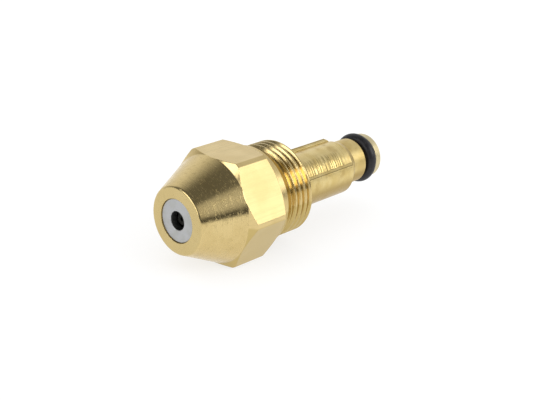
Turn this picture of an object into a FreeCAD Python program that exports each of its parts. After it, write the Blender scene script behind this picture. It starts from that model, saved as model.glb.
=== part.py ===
"""Air-atomising oil burner nozzle: a six-piece assembly in millimetres.

Every piece is drawn with its length along X, measured back from the nose face, and its
radius along Y. The pieces are then placed so that the origin is on the axis at the rear
face of the collar behind the hexagon, where the nozzle seats on its adapter. The inlet is
towards +X.
"""
import FreeCAD, Part

import math
import os
import Sketcher

from FreeCAD import Placement, Rotation, Vector

DIMENSIONS = {
    # Hexagon and its seat face
    "nose_to_seat": 14.95,
    "hex_half_flats": 8.0,
    "hex_blank_rad": 9.03,
    "hex_front": 7.12,
    "hex_back": 12.65,
    "hex_chamfer_end": 13.7,
    "seat_rad": 7.5,
    "seat_edge": 0.12,
    # Nose
    "nose_face": 0.0,
    "nose_rad": 5.02,
    "nose_rim_round": 0.42,
    "cone_end": 6.42,
    "cone_end_rad": 8.04,
    # Mounting thread, 9/16-24 UNEF
    "thread_rad": 7.144,
    "thread_root_rad": 6.49,
    "thread_pitch": 1.0583,
    "thread_root_flat_half": 0.066,
    "thread_cut_half": 0.495,
    "thread_cut_rad": 7.235,
    "thread_cut_start": 15.55,
    "thread_cut_angle": 220.0,
    "thread_cut_length": 5.6,
    "seat_inner_rad": 7.2,
    "relief_rad": 6.45,
    "relief_begin": 15.1,
    "relief_end": 15.75,
    "thread_begin": 16.16,
    "thread_end": 20.6,
    "thread_lead": 0.3,
    # Bore of the body
    "bore_rad": 4.575,
    "chamber_rad": 2.6,
    "seat_cone_start": 3.6,
    "bore_mouth": 0.3,
    # Orifice insert
    "insert_rad": 3.27,
    "insert_recess": 0.15,
    "insert_back": 2.0,
    "insert_edge": 0.12,
    "spray_hole_rad": 1.39,
    "spray_hole_edge": 0.08,
    "spray_hole_end": 1.3,
    "insert_cone_rad": 2.2,
    # Fuel tip
    "tip_front": 1.0,
    "tip_rad": 0.95,
    "tip_edge": 0.15,
    "tip_cone_start": 1.9,
    "tip_head_front": 2.9,
    "tip_head_back": 3.6,
    "tip_head_rad": 2.0,
    "tip_shank_rad": 1.5,
    "tip_back": 9.0,
    "fuel_hole_rad": 0.3,
    "fuel_hole_end": 1.5,
    "fuel_way_rad": 0.8,
    # Air swirler
    "swirler_front": 3.65,
    "swirler_back": 6.5,
    "swirler_rad": 4.33,
    "swirler_bore_rad": 1.53,
    "swirler_seat_gap": 0.04,
    "slot_offset": 1.9,
    "slot_half_width": 0.3,
    "slot_floor_front": 1.1,
    "slot_floor_turn": 5.65,
    "slot_floor_back": 3.46,
    "slot_cut_front": 2.0,
    "slot_cut_back": 7.0,
    "slot_cut_top": 5.2,
    # Stem
    "stem_front": 6.55,
    "stem_front_rad": 4.1,
    "land_rad": 4.53,
    "land_end": 33.5,
    "land_end_bevel": 0.5,
    "land_side_bevel": 0.45,
    "channel_floor_rad": 3.88,
    "channel_cut_front": 5.0,
    "channel_cut_top": 5.2,
    "channel_angle": 89.0,
    "channel_centre_angle": 112.5,
    "shoulder_end": 34.5,
    "collar_rad": 3.52,
    "collar_end": 37.3,
    "collar_edge": 0.15,
    "groove_rad": 2.25,
    "groove_end": 39.78,
    "flange_rad": 3.54,
    "stem_back": 41.05,
    "flange_edge": 0.2,
    "inlet_rad": 1.5,
    "inlet_edge": 0.3,
    "inlet_end": 12.0,
    # O-ring, 4.47 by 1.78
    "ring_section_rad": 0.89,
    "ring_squeeze": 0.02,
    "ring_side_gap": 0.06,
}
SLOT_COUNT = 6
CHANNEL_COUNT = 2

doc = FreeCAD.newDocument("oil_burner_nozzle")
sheet = doc.addObject("Spreadsheet::Sheet", "Dimensions")
for row, (alias, number) in enumerate(DIMENSIONS.items(), start=1):
    sheet.set(f"A{row}", alias)
    sheet.set(f"B{row}", str(number))
    sheet.setAlias(f"B{row}", alias)
doc.recompute()


def cell(alias):
    """The expression that reads one dimension."""
    return f"Dimensions.{alias}"


def total(words):
    """The value of a sum of dimensions, such as 'land_end - land_end_bevel'."""
    value, sign = 0.0, 1.0
    for word in words.split():
        if word in ("+", "-"):
            sign = 1.0 if word == "+" else -1.0
        else:
            value += sign * float(sheet.get(word))
    return value


def expression(words):
    """The same sum as a spreadsheet expression."""
    return " ".join(w if w in ("+", "-") else cell(w) for w in words.split())


def new_body(name):
    """A body for one piece, moved so that the seat plane is at X = 0."""
    body = doc.addObject("PartDesign::Body", name)
    body.Label = name
    body.setExpression("Placement.Base.x", "-" + cell("nose_to_seat"))
    return body


def origin_item(body, role):
    """One of a body's own origin planes or axes."""
    return next(item for item in body.Origin.OriginFeatures if item.Role == role)


def new_sketch(body, name, role, offset=Placement()):
    """A sketch on one of the body's own origin planes."""
    sketch = body.newObject("Sketcher::SketchObject", name)
    sketch.AttachmentSupport = (origin_item(body, role), [""])
    sketch.MapMode = "FlatFace"
    sketch.AttachmentOffset = offset
    return sketch


def new_tilted_sketch(body, name, angle_alias):
    """A sketch that holds the nozzle's axis, turned about it by an angle."""
    tilt = Placement(Vector(), Rotation(Vector(1, 0, 0), total(angle_alias)))
    sketch = new_sketch(body, name, "XY_Plane", tilt)
    sketch.setExpression("AttachmentOffset.Rotation.Angle", cell(angle_alias))
    return sketch


def fix_number(sketch, constraint, name, formula):
    """Add a constraint and bind its size to a formula."""
    number = sketch.addConstraint(constraint)
    sketch.renameConstraint(number, name)
    sketch.setExpression(f"Constraints.{name}", formula)


def draw_outline(sketch, points):
    """A closed outline of straight lines, each corner given as two sums of dimensions."""
    places = [Vector(total(x), total(y), 0) for x, y in points]
    count = len(places)
    for index, start in enumerate(places):
        sketch.addGeometry(Part.LineSegment(start, places[(index + 1) % count]), False)
    for index in range(count):
        following = (index + 1) % count
        sketch.addConstraint(Sketcher.Constraint("Coincident", index, 2, following, 1))
    for index, words in enumerate(points):
        for axis, word in zip("XY", words):
            value = places[index].x if axis == "X" else places[index].y
            limit = Sketcher.Constraint(f"Distance{axis}", -1, 1, index, 1, value)
            fix_number(sketch, limit, f"corner_{index}_{axis.lower()}", expression(word))


def revolve(body, name, points, kind="Revolution"):
    """A full turn of an outline about the nozzle's axis."""
    sketch = new_sketch(body, name + "_outline", "XY_Plane")
    draw_outline(sketch, points)
    feature = body.newObject(f"PartDesign::{kind}", name)
    feature.Profile = sketch
    feature.ReferenceAxis = (sketch, ["H_Axis"])
    feature.Angle = 360.0
    sketch.Visibility = False
    doc.recompute()
    return feature


def edges_where(feature, test):
    """Names of the feature's edges that pass a test."""
    edges = feature.Shape.Edges
    return [f"Edge{number}" for number, edge in enumerate(edges, 1) if test(edge)]


def dress(body, kind, name, base, size_alias, test):
    """A fillet or chamfer of one size along the chosen edges."""
    names = edges_where(base, test)
    if not names:
        raise RuntimeError(f"{name}: no edges were found")
    feature = body.newObject(f"PartDesign::{kind}", name)
    feature.Base = (base, names)
    prop = "Radius" if kind == "Fillet" else "Size"
    feature.setExpression(prop, cell(size_alias))
    doc.recompute()
    return feature


def check_cut(before, feature, what):
    """Stop if a cut has removed nothing."""
    if feature.Shape.Volume > before - 0.01:
        raise RuntimeError(f"{what} cut nothing")


def repeat_around(body, name, feature, count):
    """Copies of a cut evenly spaced round the nozzle's axis."""
    pattern = body.newObject("PartDesign::PolarPattern", name)
    pattern.Originals = [feature]
    pattern.Axis = (origin_item(body, "X_Axis"), [""])
    pattern.Angle = 360.0
    pattern.Occurrences = count
    body.Tip = pattern
    doc.recompute()
    return pattern


def draw_hexagon(sketch):
    """A hexagon with two flats square to the sketch's upright axis."""
    reach = total("hex_half_flats") / math.cos(math.pi / 6)
    corners = [
        Vector(reach * math.cos(step * math.pi / 3), reach * math.sin(step * math.pi / 3), 0)
        for step in range(6)
    ]
    for step, start in enumerate(corners):
        sketch.addGeometry(Part.LineSegment(start, corners[(step + 1) % 6]), False)
    distance = f"{cell('hex_half_flats')} / cos(30 deg)"
    for step, corner in enumerate(corners):
        sketch.addConstraint(Sketcher.Constraint("Coincident", step, 2, (step + 1) % 6, 1))
        angle = f"({60 * step} deg)"
        limit = Sketcher.Constraint("DistanceX", -1, 1, step, 1, corner.x)
        fix_number(sketch, limit, f"corner_{step}_x", f"{distance} * cos{angle}")
        limit = Sketcher.Constraint("DistanceY", -1, 1, step, 1, corner.y)
        fix_number(sketch, limit, f"corner_{step}_y", f"{distance} * sin{angle}")


def cut_hexagon(body, blank):
    """Mill the six flats. The round bar stays showing as a narrow band at each corner."""
    sketch = new_sketch(body, "hexagon_outline", "YZ_Plane")
    draw_hexagon(sketch)
    clear = 2 * total("hex_blank_rad")
    around = sketch.addGeometry(Part.Circle(Vector(0, 0, 0), Vector(0, 0, 1), clear), False)
    sketch.addConstraint(Sketcher.Constraint("Coincident", around, 3, -1, 1))
    limit = Sketcher.Constraint("Radius", around, clear)
    fix_number(sketch, limit, "clear_of_blank", f"2 * {cell('hex_blank_rad')}")
    sketch.Visibility = False
    before = blank.Shape.Volume
    pocket = body.newObject("PartDesign::Pocket", "hexagon_flats")
    pocket.Profile = sketch
    pocket.Type = "Length"
    pocket.setExpression("Length", cell("nose_to_seat"))
    pocket.Reversed = True
    doc.recompute()
    check_cut(before, pocket, "hexagon")
    return pocket


def cut_thread(body, base):
    """Cut the right-hand mounting thread, starting in the relief groove."""
    sketch = new_tilted_sketch(body, "thread_groove_outline", "thread_cut_angle")
    draw_outline(
        sketch,
        [
            ("thread_cut_start - thread_root_flat_half", "thread_root_rad"),
            ("thread_cut_start + thread_root_flat_half", "thread_root_rad"),
            ("thread_cut_start + thread_cut_half", "thread_cut_rad"),
            ("thread_cut_start - thread_cut_half", "thread_cut_rad"),
        ],
    )
    sketch.Visibility = False
    before = base.Shape.Volume
    helix = body.newObject("PartDesign::SubtractiveHelix", "mounting_thread")
    helix.Profile = sketch
    helix.ReferenceAxis = (sketch, ["H_Axis"])
    helix.Mode = 0
    helix.setExpression("Pitch", cell("thread_pitch"))
    helix.setExpression("Height", cell("thread_cut_length"))
    helix.Angle = 0.0
    helix.LeftHanded = False
    doc.recompute()
    check_cut(before, helix, "thread")
    return helix


def make_nozzle_body():
    """Brass body: nose cone, hexagon, mounting thread and stepped bore."""
    body = new_body("nozzle_body")
    blank = revolve(
        body,
        "turned_blank",
        [
            ("nose_face", "insert_rad"),
            ("nose_face", "nose_rad"),
            ("cone_end", "cone_end_rad"),
            ("hex_front", "hex_blank_rad"),
            ("hex_back", "hex_blank_rad"),
            ("hex_chamfer_end", "seat_rad"),
            ("nose_to_seat - seat_edge", "seat_rad"),
            ("nose_to_seat", "seat_rad - seat_edge"),
            ("nose_to_seat", "seat_inner_rad"),
            ("relief_begin", "relief_rad"),
            ("relief_end", "relief_rad"),
            ("thread_begin", "thread_rad"),
            ("thread_end - thread_lead", "thread_rad"),
            ("thread_end", "thread_rad - thread_lead"),
            ("thread_end", "bore_rad + bore_mouth"),
            ("thread_end - bore_mouth", "bore_rad"),
            ("seat_cone_start + bore_rad - chamber_rad", "bore_rad"),
            ("seat_cone_start", "chamber_rad"),
            ("insert_back", "chamber_rad"),
            ("insert_back", "insert_rad"),
        ],
    )
    rim = dress(body, "Fillet", "nose_rim", blank, "nose_rim_round", is_nose_rim)
    flats = cut_hexagon(body, rim)
    return cut_thread(body, flats)


def is_nose_rim(edge):
    """The circle where the nose face meets the cone."""
    box = edge.BoundBox
    return box.XMax < 0.01 and abs(box.YMax - total("nose_rad")) < 0.01


def make_orifice_insert():
    """Steel disc pressed into the nose, with the spray hole."""
    body = new_body("orifice_insert")
    revolve(
        body,
        "insert_disc",
        [
            ("insert_recess", "spray_hole_rad + spray_hole_edge"),
            ("insert_recess", "insert_rad - insert_edge"),
            ("insert_recess + insert_edge", "insert_rad"),
            ("insert_back", "insert_rad"),
            ("insert_back", "insert_cone_rad"),
            ("spray_hole_end", "spray_hole_rad"),
            ("insert_recess + spray_hole_edge", "spray_hole_rad"),
        ],
    )


def make_fuel_tip():
    """Steel fuel tip: its nose stands in the spray hole with air all round it."""
    body = new_body("fuel_tip")
    revolve(
        body,
        "tip_turning",
        [
            ("tip_front", "fuel_hole_rad"),
            ("tip_front", "tip_rad - tip_edge"),
            ("tip_front + tip_edge", "tip_rad"),
            ("tip_cone_start", "tip_rad"),
            ("tip_head_front", "tip_head_rad"),
            ("tip_head_back", "tip_head_rad"),
            ("tip_head_back", "tip_shank_rad"),
            ("tip_back", "tip_shank_rad"),
            ("tip_back", "fuel_way_rad"),
            ("fuel_hole_end + fuel_way_rad - fuel_hole_rad", "fuel_way_rad"),
            ("fuel_hole_end", "fuel_hole_rad"),
        ],
    )


def make_air_swirler():
    """Steel ring on the tip's shank, with slots that start the air spinning."""
    body = new_body("air_swirler")
    ring = revolve(
        body,
        "swirler_turning",
        [
            ("swirler_front", "swirler_bore_rad"),
            ("swirler_front", "swirler_front + chamber_rad - seat_cone_start - swirler_seat_gap"),
            ("swirler_rad + seat_cone_start - chamber_rad + swirler_seat_gap", "swirler_rad"),
            ("swirler_back", "swirler_rad"),
            ("swirler_back", "swirler_bore_rad"),
        ],
    )
    sideways = Placement(Vector(0, 0, total("slot_offset")), Rotation())
    sketch = new_sketch(body, "slot_outline", "XY_Plane", sideways)
    sketch.setExpression("AttachmentOffset.Base.z", cell("slot_offset"))
    draw_outline(
        sketch,
        [
            ("slot_cut_front", "slot_floor_front"),
            ("swirler_front", "slot_floor_front"),
            ("slot_floor_turn", "slot_floor_back"),
            ("slot_cut_back", "slot_floor_back"),
            ("slot_cut_back", "slot_cut_top"),
            ("slot_cut_front", "slot_cut_top"),
        ],
    )
    sketch.Visibility = False
    before = ring.Shape.Volume
    slot = body.newObject("PartDesign::Pocket", "swirl_slot")
    slot.Profile = sketch
    slot.Type = "Length"
    slot.Midplane = True
    slot.setExpression("Length", f"2 * {cell('slot_half_width')}")
    doc.recompute()
    check_cut(before, slot, "swirl slot")
    repeat_around(body, "swirl_slots", slot, SLOT_COUNT)


def cut_channels(body, base):
    """Two wide air channels along the stem, which leave a land between each pair."""
    sketch = new_tilted_sketch(body, "channel_outline", "channel_centre_angle")
    draw_outline(
        sketch,
        [
            ("channel_cut_front", "channel_floor_rad"),
            ("land_end", "channel_floor_rad"),
            ("land_end", "channel_cut_top"),
            ("channel_cut_front", "channel_cut_top"),
        ],
    )
    sketch.Visibility = False
    before = base.Shape.Volume
    channel = body.newObject("PartDesign::Groove", "air_channel")
    channel.Profile = sketch
    channel.ReferenceAxis = (sketch, ["H_Axis"])
    channel.Midplane = True
    channel.setExpression("Angle", cell("channel_angle"))
    doc.recompute()
    check_cut(before, channel, "air channel")
    return repeat_around(body, "air_channels", channel, CHANNEL_COUNT)


def is_land_edge(edge):
    """A straight edge along the outside of a land."""
    middle = edge.valueAt((edge.FirstParameter + edge.LastParameter) / 2)
    radius = math.hypot(middle.y, middle.z)
    straight = isinstance(edge.Curve, Part.Line)
    return straight and edge.Length > 5 and abs(radius - total("land_rad")) < 0.01


def make_stem():
    """Brass stem: air channels outside, fuel way inside, collar and O-ring groove behind."""
    body = new_body("stem")
    turned = revolve(
        body,
        "stem_turning",
        [
            ("stem_front", "tip_shank_rad"),
            ("stem_front", "stem_front_rad"),
            ("stem_front + land_rad - stem_front_rad", "land_rad"),
            ("land_end - land_end_bevel", "land_rad"),
            ("land_end", "channel_floor_rad"),
            ("shoulder_end", "collar_rad"),
            ("collar_end - collar_edge", "collar_rad"),
            ("collar_end", "collar_rad - collar_edge"),
            ("collar_end", "groove_rad"),
            ("groove_end", "groove_rad"),
            ("groove_end", "flange_rad"),
            ("stem_back - flange_edge", "flange_rad"),
            ("stem_back", "flange_rad - flange_edge"),
            ("stem_back", "inlet_rad + inlet_edge"),
            ("stem_back - inlet_edge", "inlet_rad"),
            ("inlet_end", "inlet_rad"),
            ("inlet_end - inlet_rad + fuel_way_rad", "fuel_way_rad"),
            ("tip_back", "fuel_way_rad"),
            ("tip_back", "tip_shank_rad"),
        ],
    )
    channels = cut_channels(body, turned)
    dress(body, "Chamfer", "land_sides", channels, "land_side_bevel", is_land_edge)


def make_o_ring():
    """Rubber ring in the groove between the collar and the end flange."""
    ring = doc.addObject("Part::Torus", "o_ring")
    ring.Label = "o_ring"
    centre = "groove_rad + ring_section_rad - ring_squeeze"
    middle = "groove_end - ring_section_rad - ring_side_gap - nose_to_seat"
    ring.setExpression("Radius1", expression(centre))
    ring.setExpression("Radius2", cell("ring_section_rad"))
    ring.Placement = Placement(Vector(), Rotation(Vector(0, 1, 0), 90))
    ring.setExpression("Placement.Base.x", expression(middle))
    doc.recompute()


make_nozzle_body()
make_orifice_insert()
make_air_swirler()
make_fuel_tip()
make_stem()
make_o_ring()
doc.recompute()

for item in doc.Objects:
    if "Invalid" in item.State or "Error" in item.State:
        raise RuntimeError(f"{item.Label} failed: {item.State}")

PIECES = ["nozzle_body", "orifice_insert", "air_swirler", "fuel_tip", "stem", "o_ring"]
os.makedirs("parts", exist_ok=True)
for name in PIECES:
    piece = doc.getObject(name)
    shape = piece.Shape
    if shape.isNull() or not shape.isValid() or len(shape.Solids) != 1:
        raise RuntimeError(f"{name} is not one valid solid")
    box = shape.BoundBox
    print(
        f"{name}: {shape.Volume:.2f} mm3, X {box.XMin:.3f} to {box.XMax:.3f},"
        f" Y {box.YMin:.3f} to {box.YMax:.3f}, Z {box.ZMin:.3f} to {box.ZMax:.3f}"
    )
for name in PIECES:
    doc.getObject(name).Shape.exportStep(f"parts/{name}.step")
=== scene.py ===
"""Studio scene for the oil burner nozzle: materials, floor, surroundings and camera."""
import math

import bpy
from mathutils import Matrix, Vector


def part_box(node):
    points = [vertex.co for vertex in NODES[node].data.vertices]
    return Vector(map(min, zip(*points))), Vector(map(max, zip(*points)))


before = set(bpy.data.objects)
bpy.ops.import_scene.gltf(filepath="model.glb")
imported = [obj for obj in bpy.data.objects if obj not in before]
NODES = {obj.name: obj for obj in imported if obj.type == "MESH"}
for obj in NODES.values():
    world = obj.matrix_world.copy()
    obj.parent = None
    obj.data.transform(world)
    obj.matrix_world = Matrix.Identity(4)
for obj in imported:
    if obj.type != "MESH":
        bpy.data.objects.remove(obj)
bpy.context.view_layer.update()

MM = 0.001

# Where the camera stands, seen from the point it looks at
CAMERA_AZIMUTH = math.radians(-46.84)
CAMERA_ELEVATION = math.radians(22.94)
CAMERA_ROLL = math.radians(2.48)
CAMERA_DISTANCE = 165.9 * MM
CAMERA_TARGET = Vector((3.27, 0.0, -1.83)) * MM

# The camera's sensor and focal length in millimetres, and the nearest and furthest it sees
SENSOR_WIDTH = 36.0
LENS = 74.15
NEAREST = MM
FURTHEST = 10.0

# Azimuth and elevation, inner and outer angle, all in degrees, and brightness of each softbox
SOFTBOXES = (
    (-44.0, 23.0, 11.0, 18.0, 1.8),
    (-68.0, 31.0, 14.0, 19.0, 4.2),
    (-15.0, 36.0, 8.0, 40.0, 0.8),
    (163.0, 23.0, 13.0, 19.0, 2.7),
    (185.0, 13.0, 9.0, 13.0, 2.8),
    (-104.0, 33.0, 10.0, 28.0, 0.59),
)

# The back wall: its azimuth in degrees, the cosines between which it fades in, and how bright
# the room is away from it and at it
BACK_WALL_AZIMUTH = 50.0
BACK_WALL_FADE = (0.05, 0.85)
BACK_WALL_LIGHT = (0.15, 0.94)

# The dark band low in front: its azimuth in degrees, the cosines between which its sides fade,
# the heights between which its top fades, and how much light it takes away
DARK_BAND_AZIMUTH = -100.0
DARK_BAND_SIDES = (0.3, 0.6)
DARK_BAND_TOP = (0.1, 0.26)
DARK_BAND_DEPTH = 0.75

# The floor: how far it reaches each way, and how strongly it glows
FLOOR_REACH = 4.0
FLOOR_GLOW = 0.72

# Along the axis on the body: the nose face, and the hexagon's two ends
NOSE_FACE = (-14.93 * MM, -14.8 * MM)
HEX_FRONT = -8.7 * MM
HEX_BACK = -1.4 * MM

# Distances from the axis on the body: from thread roots to crests, and the collar's edge
THREAD_WALL = (6.5 * MM, 6.8 * MM)
COLLAR_EDGE = (7.2 * MM, 7.3 * MM)

# Along the axis on the stem: where the tool marks run out, the collar and the flange
CHATTER_END = (15.5 * MM, 18.0 * MM)
COLLAR_START = (19.3 * MM, 19.8 * MM)
FLANGE_START = (24.7 * MM, 24.8 * MM)

# Distances from the axis on the stem: up the side wall of a channel and onto a land
WALL_FOOT = (3.89 * MM, 3.93 * MM)
WALL_MIDDLE = (4.0 * MM, 4.08 * MM)
LAND = (4.0 * MM, 4.2 * MM)
WALL_TOP = (4.34 * MM, 4.40 * MM)
LAND_EDGE = (4.46 * MM, 4.50 * MM)

# Round the stem, in degrees: the middle of an air channel, and the middle of its tool marks
CHANNEL_MIDDLE = 112.5
CHATTER_MIDDLE = 143.0

# The cosines, from the middle of the tool marks, between which they fade in
CHATTER_SIDES = (0.87, 0.97)

# Height over distance from the axis, between which an underside gets painted shade: a darker tone
# that stands in for the dimmer floor it reflects
BODY_PAINTED_SHADE = (-0.06, -0.01)
STEM_PAINTED_SHADE = (-0.36, 0.02)

# What a position is multiplied by, so that a noise is drawn out along the axis or round it
LENGTHWISE = (0.01, 1.0, 1.0)
ROUND_THE_AXIS = (1.0, 0.3, 0.3)

# Noise values between which one colour of a metal gives way to the other
PATCH_EDGES = (0.35, 0.7)

# Node, material, two colours, roughness and density of the rings of each steel piece
STEEL_PIECES = (
    ("orifice_insert", "insert_steel", (0.46, 0.465, 0.47), (0.42, 0.425, 0.41), 0.34, 9000.0),
    ("air_swirler", "swirler_steel", (0.52, 0.52, 0.52), (0.45, 0.45, 0.44), 0.3, 6000.0),
    # The fuel tip's near-black colour is painted shade, standing in for the shade deep inside the
    # nose hole
    ("fuel_tip", "tip_steel", (0.022, 0.022, 0.02), (0.05, 0.045, 0.04), 0.4, 6000.0),
)

# How far the sharp edges are worn round
EDGE_WEAR = 0.12 * MM


def rgb(red, green, blue):
    """A linear colour with full alpha."""
    return (red, green, blue, 1.0)


WHITE = rgb(1.0, 1.0, 1.0)


class Nodes:
    """A short way to build a node tree."""

    def __init__(self, tree):
        self.tree = tree
        tree.nodes.clear()

    def add(self, kind, inputs=None, **settings):
        """A node with its settings, and its inputs given as values or as other nodes' outputs."""
        node = self.tree.nodes.new(kind)
        for key, value in settings.items():
            setattr(node, key, value)
        for key, value in (inputs or {}).items():
            if isinstance(value, bpy.types.NodeSocket):
                self.tree.links.new(value, node.inputs[key])
            else:
                node.inputs[key].default_value = value
        return node

    def math(self, operation, first, second=0.0):
        """One number from two."""
        return self.add("ShaderNodeMath", {0: first, 1: second}, operation=operation).outputs[0]

    def plus(self, first, second):
        """The sum of two numbers."""
        return self.math("ADD", first, second)

    def times(self, first, second):
        """The product of two numbers, or where two masks meet."""
        return self.math("MULTIPLY", first, second)

    def vector_math(self, operation, vector, other=(0.0, 0.0, 0.0)):
        """A node that works on one or two vectors."""
        return self.add("ShaderNodeVectorMath", {0: vector, 1: other}, operation=operation)

    def dot(self, vector, side):
        """How far a vector reaches towards one side."""
        return self.vector_math("DOT_PRODUCT", vector, side).outputs["Value"]

    def scaled(self, vector, factors):
        """A vector with each coordinate multiplied by its own factor."""
        return self.vector_math("MULTIPLY", vector, factors).outputs[0]

    def ramp(self, value, low, high, to_low=0.0, to_high=1.0):
        """A smooth step from one number to another."""
        inputs = {
            "Value": value,
            "From Min": low,
            "From Max": high,
            "To Min": to_low,
            "To Max": to_high,
        }
        return self.add("ShaderNodeMapRange", inputs, interpolation_type="SMOOTHSTEP").outputs[0]

    def until(self, value, low, high):
        """A mask that is full below one number and gone above another."""
        return self.ramp(value, low, high, 1.0, 0.0)

    def streaks(self, position, density, detail=2.0):
        """Fine parallel lines across one coordinate."""
        inputs = {"W": self.times(position, density), "Scale": 1.0, "Detail": detail}
        return self.add("ShaderNodeTexNoise", inputs, noise_dimensions="1D").outputs[0]

    def noise(self, vector, scale, detail=2.0):
        """Soft patches."""
        inputs = {"Vector": vector, "Scale": scale, "Detail": detail}
        return self.add("ShaderNodeTexNoise", inputs).outputs[0]

    def blend(self, factor, first, second):
        """A colour between two."""
        inputs = {0: factor, 6: first, 7: second}
        return self.add("ShaderNodeMix", inputs, data_type="RGBA").outputs[2]

    def tinted(self, color, layers):
        """A colour under layers, each given as its mask, its strength and its own colour."""
        for mask, strength, tint in layers:
            color = self.blend(self.times(mask, strength), color, rgb(*tint))
        return color

    def raised(self, number, layers):
        """A number plus layers, each given as its mask and what it adds where it is full."""
        for mask, amount in layers:
            number = self.plus(number, self.times(mask, amount))
        return number


class Place:
    """Where a point of a piece is: along the axis, up, out from the axis, and as a vector."""

    def __init__(self, nodes):
        self.nodes = nodes
        self.position = nodes.add("ShaderNodeTexCoord").outputs["Object"]
        self.x, y, self.z = nodes.add("ShaderNodeSeparateXYZ", {0: self.position}).outputs
        out = nodes.add("ShaderNodeCombineXYZ", {1: y, 2: self.z}).outputs[0]
        self.radius = nodes.vector_math("LENGTH", out).outputs["Value"]

    def rings(self, density, detail=2.0):
        """Fine turned rings, on faces along the axis and across it alike."""
        return self.nodes.streaks(self.nodes.plus(self.x, self.radius), density, detail)

    def steepness(self):
        """The height over the distance from the axis, from -1 underneath to 1 on top."""
        return self.nodes.math("DIVIDE", self.z, self.radius)

    def towards(self, angle):
        """How far a point is from the axis towards one side, in degrees from +Y towards +Z."""
        turn = math.radians(angle)
        return self.nodes.dot(self.position, Vector((0.0, math.cos(turn), math.sin(turn))))


def new_material(name):
    """An empty material and its node builder."""
    material = bpy.data.materials.new(name)
    material.use_nodes = True
    return material, Nodes(material.node_tree)


def finish_metal(nodes, material, color, roughness, reliefs):
    """Join colour, roughness and reliefs, each a height and its depth, into a metal surface."""
    normal = nodes.add("ShaderNodeBevel", {"Radius": EDGE_WEAR}, samples=6).outputs[0]
    for height, depth in reliefs:
        inputs = {"Strength": 1.0, "Distance": depth, "Height": height, "Normal": normal}
        normal = nodes.add("ShaderNodeBump", inputs).outputs[0]
    inputs = {"Base Color": color, "Metallic": 1.0, "Roughness": roughness, "Normal": normal}
    surface = nodes.add("ShaderNodeBsdfPrincipled", inputs)
    nodes.add("ShaderNodeOutputMaterial", {"Surface": surface.outputs[0]})
    return material


def body_brass():
    """Bright brass: turned rings on the cone and thread, drawn lines along the hexagon, and
    painted shade on the underside, in the thread roots and on the nose face.
    """
    material, nodes = new_material("body_brass")
    place = Place(nodes)
    position = place.position

    # Painted shade: the nose face is tinted duller, standing in for the dimmer floor it reflects
    nose_face_shade = nodes.until(place.x, *NOSE_FACE)
    on_cone = nodes.math("LESS_THAN", place.x, HEX_FRONT)
    behind_front = nodes.math("GREATER_THAN", place.x, HEX_FRONT)
    on_hexagon = nodes.times(behind_front, nodes.math("LESS_THAN", place.x, HEX_BACK))
    in_thread = nodes.math("GREATER_THAN", place.x, HEX_BACK)
    # Painted shade: the thread roots are tinted darker, where shade falls between the crests
    root_shade = nodes.times(nodes.until(place.radius, *THREAD_WALL), in_thread)
    on_shoulder = nodes.times(nodes.ramp(place.radius, *COLLAR_EDGE), in_thread)
    # Painted shade: the underside of the hexagon and thread is tinted darker, standing in for the
    # dimmer floor it reflects
    under = nodes.times(nodes.until(place.steepness(), *BODY_PAINTED_SHADE), behind_front)

    patches = nodes.ramp(nodes.noise(position, scale=260.0, detail=3.0), *PATCH_EDGES)
    rings = place.rings(density=9000.0)
    drawn = nodes.noise(nodes.scaled(position, LENGTHWISE), scale=2600.0, detail=3.0)
    lines = nodes.plus(rings, nodes.times(nodes.math("SUBTRACT", drawn, rings), on_hexagon))
    waves = nodes.times(nodes.noise(position, scale=330.0, detail=1.0), on_hexagon)
    cone_rings = nodes.times(nodes.streaks(place.x, density=5200.0, detail=1.0), on_cone)
    around = nodes.scaled(position, ROUND_THE_AXIS)
    grain = nodes.times(nodes.noise(around, scale=4600.0, detail=3.0), on_cone)
    pits = nodes.ramp(nodes.noise(around, scale=6400.0), low=0.5, high=0.7)
    speckle = nodes.times(pits, on_cone)
    wear = nodes.ramp(nodes.noise(position, scale=1700.0, detail=4.0), low=0.5, high=0.75)
    worn = nodes.times(wear, nodes.ramp(on_hexagon, 0.0, 1.0, to_low=1.0, to_high=0.15))

    color = nodes.blend(patches, rgb(0.715, 0.555, 0.26), rgb(0.65, 0.495, 0.22))
    color = nodes.tinted(color, (
        (nodes.ramp(lines, low=0.4, high=0.7), 0.4, (0.58, 0.46, 0.21)),
        (worn, 0.35, (0.50, 0.38, 0.15)),
        (root_shade, 0.4, (0.60, 0.43, 0.17)),
        (nose_face_shade, 0.7, (0.56, 0.44, 0.20)),
        (under, 0.8, (0.53, 0.40, 0.15)),
    ))
    roughness = nodes.raised(0.1, (
        (rings, 0.12),
        (worn, 0.12),
        (speckle, 0.2),
        (on_shoulder, 0.12),
    ))
    reliefs = (
        (lines, 0.007 * MM),
        (waves, 0.035 * MM),
        (cone_rings, 0.006 * MM),
        (grain, 0.006 * MM),
    )
    return finish_metal(nodes, material, color, roughness, reliefs)


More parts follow.
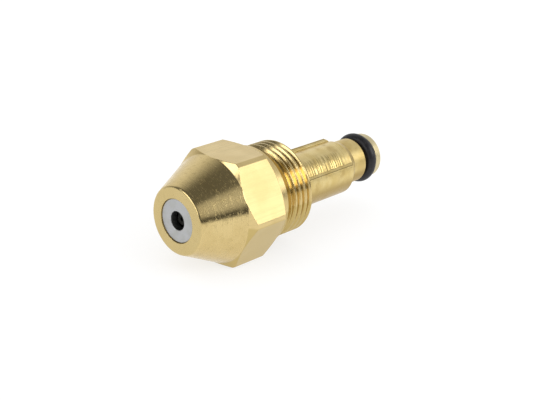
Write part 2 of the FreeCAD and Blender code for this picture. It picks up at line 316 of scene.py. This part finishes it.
def stem_brass():
    """Duller brass: tool marks in the channels, lengthwise lines on the lands, brown stains, and
    painted shade underneath, along the channel walls and in the tool marks' dips.
    """
    material, nodes = new_material("stem_brass")
    place = Place(nodes)
    position = place.position

    on_land = nodes.ramp(place.radius, *LAND)
    on_collar = nodes.ramp(place.x, *COLLAR_START)
    on_flange = nodes.ramp(place.x, *FLANGE_START)
    # Painted shade: the lower half of the stem is tinted darker, standing in for the shadowed
    # floor it reflects
    under = nodes.until(place.steepness(), *STEM_PAINTED_SHADE)
    # Painted shade: dark lines at the foot of each channel wall, in its inner corner, and along
    # its top edge
    corner_shade = nodes.times(
        nodes.ramp(place.radius, *WALL_FOOT), nodes.until(place.radius, *WALL_MIDDLE))
    edge_shade = nodes.times(
        nodes.ramp(place.radius, *WALL_TOP), nodes.until(place.radius, *LAND_EDGE))
    facing = nodes.math("DIVIDE", place.towards(CHATTER_MIDDLE), place.radius)
    chattered = nodes.ramp(nodes.math("ABSOLUTE", facing), *CHATTER_SIDES)
    chattered = nodes.times(chattered, nodes.math("SUBTRACT", 1.0, on_land))
    chattered = nodes.times(chattered, nodes.until(place.x, *CHATTER_END))

    patches = nodes.ramp(nodes.noise(position, scale=420.0, detail=3.0), *PATCH_EDGES)
    rings = place.rings(density=6000.0, detail=3.0)
    along = nodes.streaks(place.towards(CHANNEL_MIDDLE), density=3600.0, detail=3.0)
    chatter = nodes.streaks(place.x, density=2600.0, detail=1.0)
    # The tool marks are real relief; their dips are also tinted darker, which is painted shade
    dip_shade = nodes.times(nodes.until(chatter, low=0.4, high=0.6), chattered)
    blotches = nodes.noise(position, scale=1500.0, detail=3.0)
    stained = nodes.ramp(nodes.noise(position, scale=520.0, detail=4.0), low=0.5, high=0.72)

    color = nodes.blend(patches, rgb(0.76, 0.61, 0.28), rgb(0.66, 0.50, 0.19))
    color = nodes.tinted(color, (
        (stained, 0.6, (0.50, 0.35, 0.12)),
        (dip_shade, 0.6, (0.36, 0.27, 0.10)),
        (under, 1.0, (0.45, 0.32, 0.105)),
        (nodes.plus(corner_shade, edge_shade), 0.8, (0.26, 0.18, 0.06)),
        (on_flange, 0.8, (0.70, 0.62, 0.40)),
    ))
    roughness = nodes.raised(0.22, (
        (rings, 0.15),
        (stained, 0.1),
        (on_collar, 0.14),
    ))
    reliefs = (
        (rings, 0.008 * MM),
        (nodes.times(along, on_land), 0.02 * MM),
        (nodes.times(chatter, chattered), 0.1 * MM),
        (nodes.times(blotches, chattered), 0.05 * MM),
    )
    return finish_metal(nodes, material, color, roughness, reliefs)


def steel(name, light, dark, rough, density):
    """Plain steel with fine turned rings and a faint mottle."""
    material, nodes = new_material(name)
    place = Place(nodes)
    rings = place.rings(density)
    mottle = nodes.noise(place.position, scale=900.0, detail=4.0)
    color = nodes.blend(nodes.ramp(mottle, *PATCH_EDGES), rgb(*light), rgb(*dark))
    roughness = nodes.raised(rough, ((rings, 0.08),))
    return finish_metal(nodes, material, color, roughness, ((rings, 0.002 * MM),))


def seal_rubber():
    """Black rubber, slightly uneven, with a dull sheen and specks of dust."""
    material, nodes = new_material("seal_rubber")
    position = Place(nodes).position
    mottle = nodes.noise(position, scale=1100.0, detail=4.0)
    dust = nodes.ramp(nodes.noise(position, scale=4200.0, detail=1.0), low=0.66, high=0.8)
    color = nodes.blend(mottle, rgb(0.007, 0.007, 0.009), rgb(0.020, 0.019, 0.021))
    color = nodes.tinted(color, ((dust, 0.25, (0.16, 0.15, 0.13)),))
    relief = nodes.add(
        "ShaderNodeBump", {"Strength": 1.0, "Distance": 0.008 * MM, "Height": mottle})
    inputs = {
        "Base Color": color,
        "Roughness": nodes.ramp(mottle, low=0.3, high=0.7, to_low=0.3, to_high=0.5),
        "Specular IOR Level": 0.36,
        "Normal": relief.outputs[0],
    }
    surface = nodes.add("ShaderNodeBsdfPrincipled", inputs)
    nodes.add("ShaderNodeOutputMaterial", {"Surface": surface.outputs[0]})
    return material


def floor_white():
    """Pale floor that glows a little, so it stays even."""
    material, nodes = new_material("floor_white")
    inputs = {
        "Base Color": rgb(0.3, 0.3, 0.3),
        "Roughness": 0.9,
        "Specular IOR Level": 0.0,
        "Emission Color": WHITE,
        "Emission Strength": FLOOR_GLOW,
    }
    surface = nodes.add("ShaderNodeBsdfPrincipled", inputs)
    nodes.add("ShaderNodeOutputMaterial", {"Surface": surface.outputs[0]})
    return material


def paint(node_name, material):
    """Give a CAD node its material."""
    slots = NODES[node_name].data.materials
    for index in range(len(slots)):
        slots[index] = material
    if not len(slots):
        slots.append(material)


def make_floor(height):
    """A large plain floor, part of the studio, that the hexagon's lower flat lies on."""
    reach = FLOOR_REACH
    corners = [
        (-reach, -reach, height),
        (reach, -reach, height),
        (reach, reach, height),
        (-reach, reach, height),
    ]
    mesh = bpy.data.meshes.new("floor")
    mesh.from_pydata(corners, [], [(0, 1, 2, 3)])
    mesh.materials.append(floor_white())
    piece = bpy.data.objects.new("floor", mesh)
    bpy.context.scene.collection.objects.link(piece)


def direction(azimuth, elevation):
    """A unit vector, from degrees of azimuth from +X towards +Y, and degrees of elevation."""
    a, e = math.radians(azimuth), math.radians(elevation)
    return Vector((math.cos(a) * math.cos(e), math.sin(a) * math.cos(e), math.sin(e)))


def glow(nodes, ray, azimuth, elevation, inner, outer, strength):
    """A round soft light in the surroundings, full up to one angle and gone by another."""
    facing = nodes.dot(ray, direction(azimuth, elevation))
    edge, core = math.cos(math.radians(outer)), math.cos(math.radians(inner))
    return nodes.ramp(facing, edge, core, to_high=strength)


def make_world():
    """A bright back wall, soft lights and a dark band low in front, seen only in reflections."""
    world = bpy.data.worlds.new("studio")
    world.use_nodes = True
    nodes = Nodes(world.node_tree)
    ray = nodes.add("ShaderNodeTexCoord").outputs["Generated"]

    back = nodes.dot(ray, direction(BACK_WALL_AZIMUTH, 0.0))
    light = nodes.ramp(back, *BACK_WALL_FADE, *BACK_WALL_LIGHT)
    for softbox in SOFTBOXES:
        light = nodes.math("MAXIMUM", light, glow(nodes, ray, *softbox))
    front = nodes.dot(ray, direction(DARK_BAND_AZIMUTH, 0.0))
    height = nodes.add("ShaderNodeSeparateXYZ", {0: ray}).outputs[2]
    low_front = nodes.times(
        nodes.ramp(front, *DARK_BAND_SIDES), nodes.until(height, *DARK_BAND_TOP))
    dimming = nodes.math("SUBTRACT", 1.0, nodes.times(low_front, DARK_BAND_DEPTH))
    light = nodes.times(light, dimming)

    surroundings = nodes.add("ShaderNodeBackground", {"Color": WHITE, "Strength": light})
    backdrop = nodes.add("ShaderNodeBackground", {"Color": WHITE, "Strength": 1.0})
    path = nodes.add("ShaderNodeLightPath")
    even = nodes.math(
        "MAXIMUM", path.outputs["Is Camera Ray"], path.outputs["Is Diffuse Ray"])
    shaders = {0: even, 1: surroundings.outputs[0], 2: backdrop.outputs[0]}
    mixed = nodes.add("ShaderNodeMixShader", shaders)
    nodes.add("ShaderNodeOutputWorld", {"Surface": mixed.outputs[0]})
    bpy.context.scene.world = world


def make_camera():
    """The camera, at the height and side the nozzle is looked at from."""
    a, e, roll = CAMERA_AZIMUTH, CAMERA_ELEVATION, CAMERA_ROLL
    back = Vector((math.sin(a) * math.cos(e), -math.cos(a) * math.cos(e), math.sin(e)))
    level = Vector((math.cos(a), math.sin(a), 0.0))
    right = (math.cos(roll) * level + math.sin(roll) * back.cross(level)).normalized()
    up = back.cross(right)
    data = bpy.data.cameras.new("camera")
    data.sensor_width, data.lens = SENSOR_WIDTH, LENS
    data.clip_start, data.clip_end = NEAREST, FURTHEST
    camera = bpy.data.objects.new("camera", data)
    turn = Matrix((right, up, back)).transposed().to_4x4()
    camera.matrix_world = Matrix.Translation(CAMERA_TARGET + back * CAMERA_DISTANCE) @ turn
    bpy.context.scene.collection.objects.link(camera)
    bpy.context.scene.camera = camera


make_camera()

paint("nozzle_body", body_brass())
paint("stem", stem_brass())
for node_name, *look in STEEL_PIECES:
    paint(node_name, steel(*look))
paint("o_ring", seal_rubber())

floor_height = min(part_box(name)[0].z for name in NODES)
make_floor(floor_height)
make_world()

bpy.context.scene.view_settings.view_transform = "Standard"
